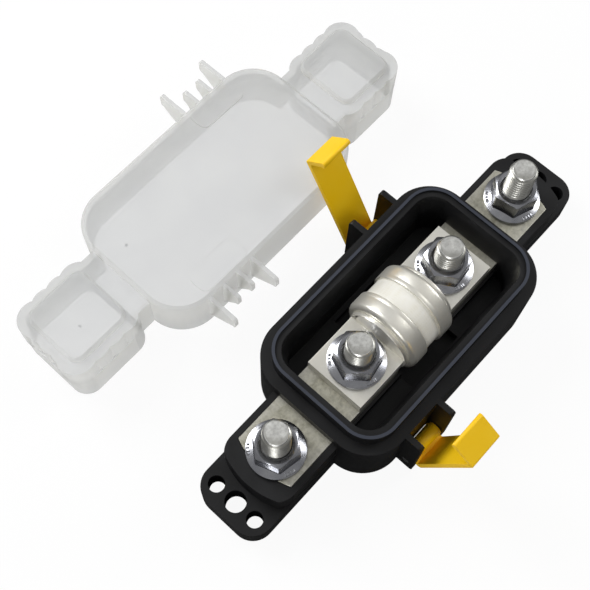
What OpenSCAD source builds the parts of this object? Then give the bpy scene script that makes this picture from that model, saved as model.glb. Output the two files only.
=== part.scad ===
// Fuse block for a bolt-down class T fuse, with its cover taken off and laid beside it.
// The long axis is X, the mounting face is z = 0 and the origin is the middle of that face.

/* [Tub] */
// Outer length of the tub wall
tub_l = 98.4; // [94:0.2:104]
// Outer width of the tub wall
tub_w = 59; // [57:0.2:64]
// Corner radius of the tub wall
tub_r = 15.5; // [12:0.5:18]
// Height of the ledge that the cover sits on
ledge_z = 27.5; // [25.5:0.25:29]
// Width of that ledge, from the wall to the lip
ledge_w = 3.9; // [3:0.1:4.5]
// Height of the lip above the ledge
lip_h = 5.5; // [4:0.25:6]
// Thickness of the lip at its top
lip_t = 3.2; // [2.6:0.1:3.6]
// How far the inner wall leans in between the lip and the bars
lean = 2.2; // [1.5:0.1:2.6]
// Width of the sealing bead on the lip
bead_w = 1.1; // [0.8:0.1:1.5]
// Height of the sealing bead
bead_h = 0.9; // [0.5:0.1:1.2]
// Thickness of the outer skirt
skirt_t = 2.4; // [2:0.1:2.8]
// Height of the side floors in the tub
floor_z = 12; // [10.5:0.5:13]
// Height of the sunk floor below the fuse body
well_z = 8; // [6:0.5:9]
// Clearance between that sunk floor and the inner end of a bar
well_gap = 0.6; // [0.4:0.1:1.2]

/* [Terminals] */
// Distance from the end of the tub in to a fuse stud
fuse_stud_in = 25.8; // [25:0.1:26.6]
// Distance from the end of the tub out to a terminal stud
term_stud_out = 14.4; // [13:0.1:16]
// Width of a terminal block
block_w = 28.8; // [28:0.2:30]
// Distance from a terminal stud to the end of its block
block_reach = 14.9; // [13.5:0.1:16.5]
// Corner radius of that end
block_r = 8; // [4:0.5:12]
// Radius of the curved end of the block and of the bar
end_r = 30; // [26:1:40]
// Width of a bus bar
bar_w = 24; // [22:0.2:24.6]
// Thickness of a bus bar
bar_t = 5; // [4:0.25:6]
// Height of the top face of the bus bars
bar_z = 22.9; // [21.5:0.1:23.5]
// Distance from a fuse stud to the inner end of its bar
bar_back = 10; // [9.2:0.2:10.6]
// Distance from a terminal stud to the tip of the bar
bar_reach = 8.2; // [7.5:0.1:9.2]
// How far the block wall stands below the bar's top face
block_drop = 0.2; // [0:0.1:1]
// Clearance round a bar in its pocket
bar_gap = 0.1; // [0.05:0.05:0.2]

/* [Mounting ears] */
// Distance from the row of mounting holes to the end of an ear
ear_out = 6.7; // [6:0.1:9]
// Width of an ear
ear_w = 29.4; // [29:0.2:32]
// Thickness of an ear
ear_t = 10.8; // [9:0.2:12]
// Corner radius of an ear
ear_r = 8; // [5:0.5:9]
// Distance from the end of a block to the row of mounting holes
hole_out = 5.3; // [4.9:0.1:6]
// Distance from the centre line to an outer mounting hole
hole_y = 8.9; // [8.4:0.1:9.6]
// Diameter of an outer mounting hole
hole_d = 5.9; // [4:0.1:6.5]
// Diameter of the middle mounting hole
centre_hole_d = 7.6; // [6:0.1:8.4]

/* [Studs and nuts] */
// Diameter of a stud
stud_d = 10; // [9:0.1:10.2]
// Diameter of the clearance holes for the studs
stud_hole_d = 10.4; // [10.4:0.1:11]
// Height of the stud ends
stud_top = 45.6; // [44:0.1:45.8]
// Diameter of the flat end of a stud
stud_tip_d = 7.9; // [7:0.1:8.6]
// Width across flats of the stud's head
head_af = 16; // [15:0.5:16.5]
// Height of the stud's head
head_h = 6.4; // [5:0.2:7]
// Height of the seat that the head pulls against
head_seat = 10.6; // [10:0.1:11]
// Clearance across flats in the hexagon pocket of a head
head_gap = 0.4; // [0.2:0.1:0.8]
// Width across flats of a nut
nut_af = 15; // [14:0.5:16]
// Height of a nut with its flange
nut_h = 9.8; // [9:0.1:10.5]
// Diameter of the nut's flange
flange_d = 20.8; // [19:0.1:21.8]
// Thickness of the flange at its edge
flange_edge = 1.3; // [1:0.1:1.8]
// Radial clearance of a nut on its stud
nut_gap = 0.05; // [0.03:0.01:0.1]

/* [Fuse] */
// Diameter of the fuse tube
tube_d = 28.4; // [26:0.1:28.8]
// Wall of the fuse tube
tube_t = 2.8; // [2:0.1:3.5]
// Thickness of an end cap's skirt
cap_t = 0.95; // [0.7:0.05:1.1]
// Radial clearance of a cap on the tube
cap_gap = 0.05; // [0.02:0.01:0.1]
// Share of the fuse's half length that a cap covers
cap_share = 0.66; // [0.55:0.01:0.78]
// Distance from a fuse stud to the end face of a cap
nut_room = 12.5; // [12.2:0.1:13.4]
// Thickness of a cap's end wall
cap_end_t = 1.2; // [0.8:0.1:1.5]
// Rounding of a cap's outer edge
cap_r = 2; // [1:0.1:2.2]
// Thickness of a blade
blade_t = 4.8; // [3.5:0.1:5]
// Width of a blade
blade_w = 23.8; // [22:0.2:24.4]
// Distance from the end of a blade to the end of the tub
end_room = 14.25; // [13.2:0.05:14.7]
// Diameter of the blade's round foot on the cap
foot_d = 25.2; // [24:0.2:25.6]
// Thickness of that foot
foot_t = 1.6; // [1:0.1:1.8]
// Thickness of the fuse element
element_t = 0.6; // [0.4:0.1:1]
// Width of the fuse element
element_w = 15; // [10:0.5:18]

/* [Latches] */
// Distance of a latch's middle beyond the fuse stud, along X
latch_shift = 0; // [-1.4:0.1:1.6]
// Width of a latch
latch_w = 13.6; // [12:0.2:14.6]
// Side clearance between latch and lugs
latch_gap = 0.25; // [0.2:0.05:0.4]
// Thickness of a lug
lug_t = 2.2; // [1.8:0.1:2.6]
// How far the lugs reach out from the tub wall
lug_out = 6.8; // [6.2:0.1:7.4]
// Distance from the tub wall to the middle of the hinge pin
pin_out = 3.4; // [3.3:0.05:3.6]
// Height of the hinge pin above the mounting face
pin_z = 5.5; // [5.3:0.1:6.5]
// Diameter of the hinge pin
pin_d = 3; // [2.6:0.1:3.2]
// Radial clearance of the latch on its pin
pin_gap = 0.07; // [0.04:0.01:0.1]
// Outer diameter of the latch's clip round the pin
clip_d = 6; // [5.6:0.1:6.2]
// Thickness of the latch plate
latch_t = 1.9; // [1.6:0.1:2.2]
// Distance from the pin to the outer face of the latch plate
arm_out = 6.4; // [6:0.1:7]
// How far the heel of the latch reaches below the pin
heel = 2.8; // [2.2:0.1:3]
// Height of the latch above its pin
arm_h = 43.8; // [43.6:0.1:44.6]
// Length of the hook
hook_l = 8.8; // [8:0.1:10]
// Rise of the hook, in degrees
hook_rise = 14; // [8:1:18]
// Opening angle of the latch on the -Y side
open_a = 18; // [5:1:28]
// Opening angle of the latch on the +Y side
open_b = 29.6; // [5:0.2:30]

/* [Cover] */
// Height of the cover's top when it is closed
cover_top = 48.4; // [48.2:0.1:49]
// Wall of the cover
cover_t = 1.8; // [1.5:0.1:2]
// Gap between cover and base when it is closed
cover_seat = 0.2; // [0:0.1:0.4]
// Bevel along the top edge of the cover
cover_bevel = 1.2; // [0.8:0.1:1.4]
// Distance from the end of a terminal block to the end of its hood
hood_out = 8; // [7.5:0.25:9.5]
// Distance from the end of the tub to the inner end of a hood
hood_back = 4.3; // [3.3:0.1:5.8]
// Width of a hood at its foot
hood_w = 33.6; // [33.4:0.1:34.4]
// Height of the hood's shoulder when the cover is closed
shoulder_z = 45.4; // [45:0.2:46]
// Pitch of the scallops round the hood
scallop_pitch = 6.6; // [6:0.1:6.8]
// Depth of the scallops
scallop_s = 0.8; // [0.5:0.1:1]
// Length of the two outer fins of a comb
fin_long = 12.4; // [11:0.1:13]
// Length of the two inner fins of a comb
fin_short = 7.3; // [6:0.1:7.5]
// Pitch of the fins
fin_pitch = 7; // [6.8:0.1:7.4]
// Thickness of a fin
fin_t = 1.6; // [1.2:0.1:2]
// Height of the scalloped band round the hood
scallop_h = 11; // [6:0.5:14]
// How far the foot of a hood laps over the terminal block
hood_lap = 0.8; // [0.4:0.1:1.5]
// Height of a fin at its root
fin_h = 15; // [13:0.5:19]
// Height of a fin at its tip
fin_tip = 6.4; // [4:0.2:9]
// Place of the loose cover along X
cover_x = -6; // [-12:1:-2]
// Distance between the walls of the loose cover and of the base
cover_gap = 23.5; // [23.4:0.1:30]

/* [Hidden] */
$fn = 72;
eps = 0.01;
fuse_stud_x = tub_l / 2 - fuse_stud_in;
term_stud_x = tub_l / 2 + term_stud_out;
block_end = term_stud_x + block_reach;
bar_in = fuse_stud_x - bar_back;
bar_out = term_stud_x + bar_reach;
hole_x = block_end + hole_out;
ear_end = hole_x + ear_out;
blade_end = tub_l / 2 - end_room;
cap_out = fuse_stud_x - nut_room;
cap_in = cap_out * (1 - cap_share);
latch_x = fuse_stud_x + latch_shift;
hood_end = block_end + hood_out;
hood_in = tub_l / 2 + hood_back;
well_l = 2 * (bar_in - well_gap);
lip_top = ledge_z + lip_h;
lip_l = tub_l - 2 * ledge_w;
lip_w = tub_w - 2 * ledge_w;
lip_r = tub_r - ledge_w;
inner_l = lip_l - 2 * lip_t;
inner_w = lip_w - 2 * lip_t;
inner_r = lip_r - lip_t;
bar_low = bar_z - bar_t;
block_top = bar_z - block_drop;
blade_top = bar_z + blade_t;
fuse_z = bar_z + blade_t / 2;
cap_d = tube_d + 2 * (cap_t + cap_gap);
wall_y = tub_w / 2;
pin_y = wall_y + pin_out;
latch_slot = latch_w + 2 * latch_gap;
cover_low = ledge_z + cover_seat;
hood_low = block_top - hood_lap;
cover_y = cover_gap + tub_w;
hex_corner = 2 / sqrt(3);
pad_drop = 1.2;
pad_h = 0.4;
pad_w = 3 * fin_pitch + 1;
pad_l = 9.6;
cover_step = 0.3;
hood_r = 6.6;
roof_drop = 0.6;
roof_step = 3.6;
neck_step = 2.4;
core_ring = 2;
seat_w = bar_w + 6;
ped_w = bar_w + 2;
well_w = inner_w - 2 * lean - 4;
lean_z = bar_z + 1;
cell = 9.6;
cell_pitch = 11.6;
side_cell_l = 10;
side_cell_w = 7;
side_cell_y = 16.5;
side_cell_pitch = 12;
side_cell_shift = 3;
edge_r = 1.5;

// Flat outline of a rectangle with round corners, its middle at the origin
module rounded_outline(l, w, r) {
    square([l - 2 * r, w], center = true);
    square([l, w - 2 * r], center = true);
    for (x = [-1, 1], y = [-1, 1]) {
        translate([x * (l / 2 - r), y * (w / 2 - r)]) circle(r);
    }
}

// Upright prism on that outline
module rounded_prism(l, w, r, z0, z1) {
    translate([0, 0, z0]) linear_extrude(z1 - z0) rounded_outline(l, w, r);
}

// Half section of a prism whose top edge has a bevel
module bevel_section(half, h, bevel) {
    polygon([[-half, 0], [half, 0], [half, h - bevel], [half - bevel, h], [bevel - half, h], [-half, h - bevel]]);
}

// Upright prism with round corners and a bevelled top edge
module bevelled_prism(l, w, r, z0, z1, bevel) {
    h = z1 - z0;
    translate([0, 0, z0]) {
        for (x = [-1, 1], y = [-1, 1]) {
            translate([x * (l / 2 - r), y * (w / 2 - r), 0]) rotate_extrude() {
                polygon([[0, 0], [r, 0], [r, h - bevel], [r - bevel, h], [0, h]]);
            }
        }
        rotate([90, 0, 90]) linear_extrude(l - 2 * r, center = true) bevel_section(w / 2, h, bevel);
        rotate([90, 0, 0]) linear_extrude(w - 2 * r, center = true) bevel_section(l / 2, h, bevel);
    }
}

// Flat outline of a bar or block whose far end is an arc, from x = from to x = tip
module arc_ended(from, tip, w) {
    intersection() {
        translate([from, -w / 2]) square([tip - from, w]);
        translate([tip - end_r, 0]) circle(end_r);
    }
}

// Flat outline of a terminal block, whose end corners are rounded inside that arc
module block_outline(from, tip, w) {
    intersection() {
        translate([tip - end_r, 0]) circle(end_r);
        union() {
            translate([from, -w / 2]) square([tip - block_r - from, w]);
            translate([from, block_r - w / 2]) square([tip - from, w - 2 * block_r]);
            for (y = [-1, 1]) {
                translate([tip - block_r, y * (w / 2 - block_r)]) circle(block_r);
            }
        }
    }
}

// Upright prism that widens upwards: r and the half sizes grow by d from z0 to z1
module widening_prism(l, w, r, z0, z1, d) {
    h = z1 - z0;
    translate([0, 0, z0]) {
        for (x = [-1, 1], y = [-1, 1]) {
            translate([x * (l / 2 - r), y * (w / 2 - r), 0]) rotate_extrude() {
                polygon([[0, 0], [r, 0], [r + d, h], [0, h]]);
            }
        }
        rotate([90, 0, 90]) linear_extrude(l - 2 * r, center = true) {
            polygon([[-w / 2, 0], [w / 2, 0], [w / 2 + d, h], [-w / 2 - d, h]]);
        }
        rotate([90, 0, 0]) linear_extrude(w - 2 * r, center = true) {
            polygon([[-l / 2, 0], [l / 2, 0], [l / 2 + d, h], [-l / 2 - d, h]]);
        }
    }
}

// One copy at each end of the base, the second turned half round
module both_ends() {
    children();
    rotate([0, 0, 180]) children();
}

// Hexagon prism, measured across its flats, with two flats square to X
module hexagon(af, h) {
    rotate([0, 0, 30]) cylinder(h = h, d = af * hex_corner, $fn = 6);
}

// Solid of the base before anything is cut from it
module base_solid() {
    rounded_prism(tub_l, tub_w, tub_r, 0, ledge_z);
    rounded_prism(lip_l, lip_w, lip_r, ledge_z - 1, lip_top);
    difference() {
        rounded_prism(lip_l, lip_w, lip_r, lip_top - eps, lip_top + bead_h);
        rounded_prism(lip_l - 2 * bead_w, lip_w - 2 * bead_w, lip_r - bead_w, lip_top - 1, lip_top + 2);
    }
    both_ends() {
        linear_extrude(block_top) block_outline(tub_l / 2 - 2, block_end, block_w);
        translate([ear_end / 2, 0, 0]) linear_extrude(ear_t) rounded_outline(ear_end, ear_w, ear_r);
        lugs();
    }
}

// Pair of hinge lugs on the +Y wall
module lugs() {
    for (side = [-1, 1]) {
        x = latch_x + side * (latch_slot + lug_t) / 2;
        translate([x, wall_y - 1, 0]) rotate([90, 0, 90]) linear_extrude(lug_t, center = true) {
            lug_outline();
        }
    }
}

// Side outline of a lug, with its outer corners rounded
module lug_outline() {
    r = edge_r;
    reach = lug_out + 1;
    square([reach - r, ledge_z]);
    translate([0, r]) square([reach, ledge_z - 2 * r]);
    for (z = [r, ledge_z - r]) {
        translate([reach - r, z]) circle(r);
    }
}

// Inside of the tub, down to its three floors
module tub_cavity() {
    low_l = inner_l - 2 * lean;
    low_w = inner_w - 2 * lean;
    over = lean / (lip_top - lean_z);
    difference() {
        rounded_prism(low_l, low_w, inner_r - lean, floor_z, lean_z + 0.5);
        both_ends() {
            translate([bar_in - 0.4, -ped_w / 2, 0]) cube([inner_l, ped_w, bar_low]);
        }
    }
    widening_prism(low_l, low_w, inner_r - lean, lean_z, lip_top + 1, lean + over);
    translate([-well_l / 2, -well_w / 2, well_z]) cube([well_l, well_w, 10]);
}

// Narrow moulding groove that separates the outer skirt from the tub, open below
module skirt_core() {
    top = ledge_z - skirt_t - 1;
    l = tub_l - 2 * skirt_t;
    w = tub_w - 2 * skirt_t;
    difference() {
        rounded_prism(l, w, tub_r - skirt_t, -1, top);
        rounded_prism(l - 2 * core_ring, w - 2 * core_ring, tub_r - skirt_t - core_ring, -2, top + 1);
        translate([-tub_l, -seat_w / 2, -3]) cube([2 * tub_l, seat_w, top + 6]);
        for (x = [-30, -10, 10, 30]) {
            translate([x - 1, -tub_w, -3]) cube([2, 2 * tub_w, top + 6]);
        }
    }
}

// Rows of cored cells under the floor, with ribs between them
module floor_cells() {
    for (i = [-1, 1], j = [-1, 0, 1]) {
        translate([i * cell_pitch / 2 - cell / 2, j * cell_pitch - cell / 2, -1]) cube([cell, cell, well_z - 2]);
    }
    for (i = [-1, 1], j = [-1, 1], k = [-1, 1]) {
        x = fuse_stud_x + side_cell_shift + k * side_cell_pitch / 2;
        translate([i * x, j * side_cell_y, (floor_z - 4.6) / 2]) {
            cube([side_cell_l, side_cell_w, floor_z - 2.6], center = true);
        }
    }
}

module base_housing() {
    color("#1d1e20") difference() {
        base_solid();
        tub_cavity();
        skirt_core();
        floor_cells();
        both_ends() {
            translate([0, 0, bar_low]) linear_extrude(bar_t) {
                arc_ended(bar_in - 0.4, bar_out + bar_gap, bar_w + 2 * bar_gap);
            }
            for (x = [fuse_stud_x, term_stud_x]) {
                translate([x, 0, -1]) cylinder(h = bar_z, d = stud_hole_d);
                translate([x, 0, -1]) hexagon(head_af + head_gap, head_seat + 1);
            }
            translate([hole_x, 0, -1]) cylinder(h = ear_t + 2, d = centre_hole_d);
            for (y = [-1, 1]) {
                translate([hole_x, y * hole_y, -1]) cylinder(h = ear_t + 2, d = hole_d);
            }
            translate([latch_x - latch_slot, pin_y, pin_z]) rotate([0, 90, 0]) {
                cylinder(h = 2 * latch_slot, d = pin_d + 0.04);
            }
        }
    }
}

// Bus bar at the +X end
module bus_bar() {
    color("#b9b7a6") difference() {
        translate([0, 0, bar_low]) linear_extrude(bar_t) arc_ended(bar_in, bar_out, bar_w);
        for (x = [fuse_stud_x, term_stud_x]) {
            translate([x, 0, bar_low - 1]) cylinder(h = bar_t + 2, d = stud_hole_d);
        }
    }
}

// Hexagon-headed stud that stands up through the base
module stud(x) {
    lead = (stud_d - stud_tip_d) / 2;
    color("#a9a9a4") translate([x, 0, 0]) {
        translate([0, 0, head_seat - head_h]) hexagon(head_af, head_h);
        rotate_extrude() {
            polygon([[0, head_seat - 1], [stud_d / 2, head_seat - 1], [stud_d / 2, stud_top - lead],
                [stud_tip_d / 2, stud_top], [0, stud_top]]);
        }
    }
}

// Flange nut on a stud, its hexagon turned by spin
module flange_nut(x, z, spin) {
    r = flange_d / 2;
    hex_r = nut_af * hex_corner / 2;
    color("#c8c9c9") translate([x, 0, z]) difference() {
        union() {
            rotate_extrude() {
                polygon([[0, 0], [r - 0.4, 0], [r, 0.4], [r, flange_edge], [nut_af / 2, 3.2], [0, 3.2]]);
            }
            intersection() {
                rotate([0, 0, spin]) hexagon(nut_af, nut_h);
                rotate_extrude() {
                    polygon([[0, 0], [hex_r, 0], [hex_r, nut_h - 0.9], [nut_af / 2 - 0.4, nut_h], [0, nut_h]]);
                }
            }
        }
        translate([0, 0, -1]) cylinder(h = nut_h + 2, d = stud_d + 2 * nut_gap);
        translate([0, 0, nut_h - 0.7]) cylinder(h = 1, d = stud_d + 1.2);
    }
}

// Child turned so that its +Z points along +X, on the fuse's own axis
module on_fuse_axis() {
    translate([0, 0, fuse_z]) rotate([0, 90, 0]) children();
}

module fuse_tube() {
    half = cap_out - cap_end_t;
    color("#e9e6da") on_fuse_axis() difference() {
        translate([0, 0, -half]) cylinder(h = 2 * half, d = tube_d);
        translate([0, 0, -half - 1]) cylinder(h = 2 * half + 2, d = tube_d - 2 * tube_t);
    }
}

// End cap at the +X end, a drawn cup with a rounded edge
module fuse_cap() {
    r = cap_d / 2;
    color("#cfccc0") on_fuse_axis() difference() {
        rotate_extrude() {
            square([r, cap_out - cap_r]);
            square([r - cap_r, cap_out]);
            translate([r - cap_r, cap_out - cap_r]) circle(cap_r);
        }
        translate([0, 0, -1]) cylinder(h = cap_out - cap_end_t + 1, d = tube_d + 2 * cap_gap);
        translate([0, 0, -cap_d]) cylinder(h = cap_d + cap_in, d = cap_d + 2);
    }
}

// Blade at the +X end, with the round foot that joins it to the cap
module fuse_blade() {
    color("#d2cfc4") difference() {
        union() {
            on_fuse_axis() translate([0, 0, cap_out]) cylinder(h = foot_t, d = foot_d);
            translate([cap_out + foot_t - eps, -blade_w / 2, bar_z]) {
                cube([blade_end - cap_out - foot_t + eps, blade_w, blade_t]);
            }
        }
        translate([fuse_stud_x, 0, bar_z - 1]) cylinder(h = blade_t + 2, d = stud_hole_d);
    }
}

// Notched metal ribbon inside the fuse, with a turned-up tab at each end
module fuse_element() {
    half = cap_out - cap_end_t;
    rows = [-half / 2, 0, half / 2];
    color("#c9b27a") difference() {
        union() {
            translate([-half, -element_w / 2, fuse_z - element_t / 2]) cube([2 * half, element_w, element_t]);
            for (side = [-1, 1]) {
                translate([side * (half - element_t / 2) - element_t / 2, -element_w / 2, fuse_z - element_t / 2]) {
                    cube([element_t, element_w, 5]);
                }
            }
        }
        for (x = rows, y = [-2 : 2]) {
            translate([x, y * element_w / 5, fuse_z - 1]) cylinder(h = 2, d = element_w / 7.5);
        }
    }
}

// Packed sand round the element, in one piece above it and one below
module fuse_filler() {
    half = cap_out - cap_end_t;
    inner = tube_d - 2 * tube_t - 0.1;
    color("#cdbf9a") difference() {
        on_fuse_axis() translate([0, 0, 0.7 - half]) cylinder(h = 2 * half - 1.4, d = inner);
        translate([-half, -inner, fuse_z - element_t / 2 - 0.05]) cube([2 * half, 2 * inner, element_t + 0.1]);
    }
}

// Side outline of a closed latch: the pin is the origin, out is +X and up is +Y
module latch_outline() {
    r = edge_r;
    mid = arm_out - latch_t / 2;
    difference() {
        union() {
            circle(d = clip_d);
            translate([0, -heel]) square([arm_out - r, latch_t]);
            translate([arm_out - latch_t, r - heel]) square([latch_t, arm_h + heel - r - latch_t / 2]);
            translate([arm_out - r, r - heel]) intersection() {
                circle(r);
                translate([0, -r]) square([r, r]);
            }
        }
        circle(d = pin_d + 2 * pin_gap);
        translate([-clip_d, -0.4 * pin_d]) square([clip_d, 0.8 * pin_d]);
    }
    translate([mid, arm_h - latch_t / 2]) {
        circle(d = latch_t);
        rotate(180 - hook_rise) {
            translate([0, -latch_t / 2]) square([hook_l, latch_t]);
            translate([hook_l, 0]) circle(d = latch_t);
            translate([hook_l - 0.3, 0.5]) circle(d = latch_t);
        }
    }
}

// Latch on the +Y wall, opened by an angle
module latch(open) {
    color("#e3b100") translate([latch_x, pin_y, pin_z]) rotate([-open, 0, 0]) {
        rotate([90, 0, 90]) linear_extrude(latch_w, center = true) latch_outline();
    }
}

// Hinge pin on the +Y wall
module latch_pin() {
    l = latch_slot + 2 * lug_t;
    color("#c5c7c9") translate([latch_x - l / 2, pin_y, pin_z]) rotate([0, 90, 0]) {
        cylinder(h = l, d = pin_d);
    }
}

// Flat outline of a hood: its foot, or the scalloped part above it
module hood_outline(inset, scalloped) {
    l = hood_end - hood_in - 2 * inset;
    w = hood_w - 2 * inset;
    s = scallop_s;
    ball = (pow(scallop_pitch / 2, 2) + s * s) / (2 * s);
    translate([(hood_end + hood_in) / 2, 0]) {
        rounded_outline(l, w, hood_r - inset);
        if (scalloped) {
            for (i = [-1.5 : 1.5], side = [-1, 1]) {
                translate([i * scallop_pitch, side * (w / 2 + s - ball)]) circle(ball);
            }
            for (j = [-1 : 1]) {
                translate([l / 2 + s - ball, j * scallop_pitch]) circle(ball);
            }
        }
    }
}

// Outside of one hood and of the neck that joins it to the middle
module hood_solid() {
    step_l = hood_end - hood_in - 2 * roof_step;
    step_w = hood_w - 2 * roof_step;
    translate([0, 0, hood_low]) linear_extrude(shoulder_z - hood_low - scallop_h + 1) hood_outline(0, false);
    translate([0, 0, shoulder_z - scallop_h]) linear_extrude(scallop_h) hood_outline(scallop_s, true);
    translate([(hood_in + hood_end) / 2, 0, 0]) {
        bevelled_prism(step_l, step_w, hood_r - 2, shoulder_z - 1, cover_top - roof_drop, 1);
    }
    translate([tub_l / 2 - 3, neck_step - hood_w / 2, cover_low]) {
        cube([hood_in - tub_l / 2 + 5, hood_w - 2 * neck_step, shoulder_z - cover_low]);
    }
}

// Inside of one hood, of its raised roof and of the neck
module hood_hollow() {
    roof = cover_top - roof_drop - cover_t;
    step_l = hood_end - hood_in - 2 * roof_step - 2 * cover_t;
    step_w = hood_w - 2 * roof_step - 2 * cover_t;
    waist = shoulder_z - scallop_h - 1;
    translate([0, 0, hood_low - 1]) linear_extrude(waist - hood_low + 1) hood_outline(cover_t, false);
    translate([0, 0, waist - 1]) {
        linear_extrude(shoulder_z - cover_t - waist + 1) hood_outline(cover_t + scallop_s, false);
    }
    translate([(hood_in + hood_end) / 2, 0, 0]) rounded_prism(step_l, step_w, hood_r - 4, shoulder_z - 4, roof);
    translate([tub_l / 2 - 6, neck_step + cover_t - hood_w / 2, cover_low - 1]) {
        cube([hood_in - tub_l / 2 + 12, hood_w - 2 * neck_step - 2 * cover_t, shoulder_z - cover_t - cover_low + 1]);
    }
}

// Comb of four fins that stands either side of the latch on the +Y wall
module fin_comb() {
    root = 1;
    for (i = [-1.5, -0.5, 0.5, 1.5]) {
        reach = abs(i) > 1 ? fin_long : fin_short;
        translate([latch_x + i * fin_pitch, wall_y - cover_step - root, cover_top - pad_drop]) {
            rotate([90, 0, 90]) linear_extrude(fin_t, center = true) fin_outline(root, reach + root + cover_step);
        }
    }
}

// Side outline of a fin, which is tallest at its root and has round tip corners
module fin_outline(root, reach) {
    r = edge_r;
    low = r - fin_tip;
    polygon([[0, 0], [reach - r, 0], [reach, -r], [reach, low], [reach - r, low - r], [root, -fin_h], [0, -fin_h]]);
    for (z = [-r, low]) {
        translate([reach - r, z]) circle(r);
    }
}

// Flat pad on the cover's top, behind a comb
module latch_pad() {
    translate([latch_x, wall_y - cover_step - cover_bevel - pad_l / 2 - 0.3, 0]) {
        rounded_prism(pad_w, pad_l, 3, cover_top - 1, cover_top + pad_h);
    }
}

// Cover as it sits when it is closed on the base
module closed_cover() {
    w = tub_w - 2 * cover_step;
    difference() {
        union() {
            bevelled_prism(tub_l, w, tub_r, cover_low, cover_top, cover_bevel);
            both_ends() {
                hood_solid();
                fin_comb();
                latch_pad();
            }
        }
        rounded_prism(tub_l - 2 * cover_t, w - 2 * cover_t, tub_r - cover_t, cover_low - 1, cover_top - cover_t);
        both_ends() {
            hood_hollow();
        }
    }
}

// Cover, lifted off and laid beside the base on the feet of its hoods
module cover() {
    color("#dcdcd8") translate([cover_x, cover_y, -hood_low]) closed_cover();
}

base_housing();
rotate([0, 0, 180]) bus_bar();  // bus_bar_a
bus_bar();  // bus_bar_b
stud(-term_stud_x);  // terminal_stud_a
stud(term_stud_x);  // terminal_stud_b
stud(-fuse_stud_x);  // fuse_stud_a
stud(fuse_stud_x);  // fuse_stud_b
flange_nut(-term_stud_x, bar_z, 50);  // terminal_nut_a
flange_nut(term_stud_x, bar_z, 40);  // terminal_nut_b
flange_nut(-fuse_stud_x, blade_top, 10);  // fuse_nut_a
flange_nut(fuse_stud_x, blade_top, 5);  // fuse_nut_b
fuse_tube();
rotate([0, 0, 180]) fuse_cap();  // fuse_cap_a
fuse_cap();  // fuse_cap_b
rotate([0, 0, 180]) fuse_blade();  // fuse_blade_a
fuse_blade();  // fuse_blade_b
fuse_element();
fuse_filler();
rotate([0, 0, 180]) latch(open_a);  // latch_a
latch(open_b);  // latch_b
rotate([0, 0, 180]) latch_pin();  // latch_pin_a
latch_pin();  // latch_pin_b
cover();
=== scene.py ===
"""Looks of a fuse block: a black tub with a bolted fuse, yellow latches and a loose translucent cover."""

import logging
import math
from dataclasses import dataclass, field
from enum import Enum
from typing import Callable, Sequence

import bmesh
import bpy
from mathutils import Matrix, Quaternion, Vector


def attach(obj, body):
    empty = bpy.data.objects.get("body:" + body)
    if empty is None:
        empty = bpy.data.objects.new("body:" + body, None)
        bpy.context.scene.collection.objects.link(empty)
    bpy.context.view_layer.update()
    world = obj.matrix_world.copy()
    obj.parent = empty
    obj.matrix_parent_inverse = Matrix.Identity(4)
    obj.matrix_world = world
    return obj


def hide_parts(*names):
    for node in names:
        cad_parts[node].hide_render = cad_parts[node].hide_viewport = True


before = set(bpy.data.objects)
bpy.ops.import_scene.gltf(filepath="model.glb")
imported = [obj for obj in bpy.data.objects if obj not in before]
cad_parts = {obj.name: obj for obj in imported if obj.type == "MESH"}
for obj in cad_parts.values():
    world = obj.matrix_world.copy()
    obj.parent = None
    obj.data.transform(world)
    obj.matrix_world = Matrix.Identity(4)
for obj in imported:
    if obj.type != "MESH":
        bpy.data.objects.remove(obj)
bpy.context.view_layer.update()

LOG = logging.getLogger("fuse_block")
MM = 0.001
Point = tuple[float, float, float]
Colour = tuple[float, float, float, float]


def srgb(red: int, green: int, blue: int) -> Colour:
    """Linear colour of an 8-bit sRGB colour.

    Args:
        red: Red, 0 to 255.
        green: Green, 0 to 255.
        blue: Blue, 0 to 255.

    Returns:
        The linear red, green and blue, with an alpha of 1.
    """
    def linear(v: float) -> float:
        """Linear value of one channel."""
        v /= 255.0
        return v / 12.92 if v <= 0.04045 else ((v + 0.055) / 1.055) ** 2.4

    return (linear(red), linear(green), linear(blue), 1.0)


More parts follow.
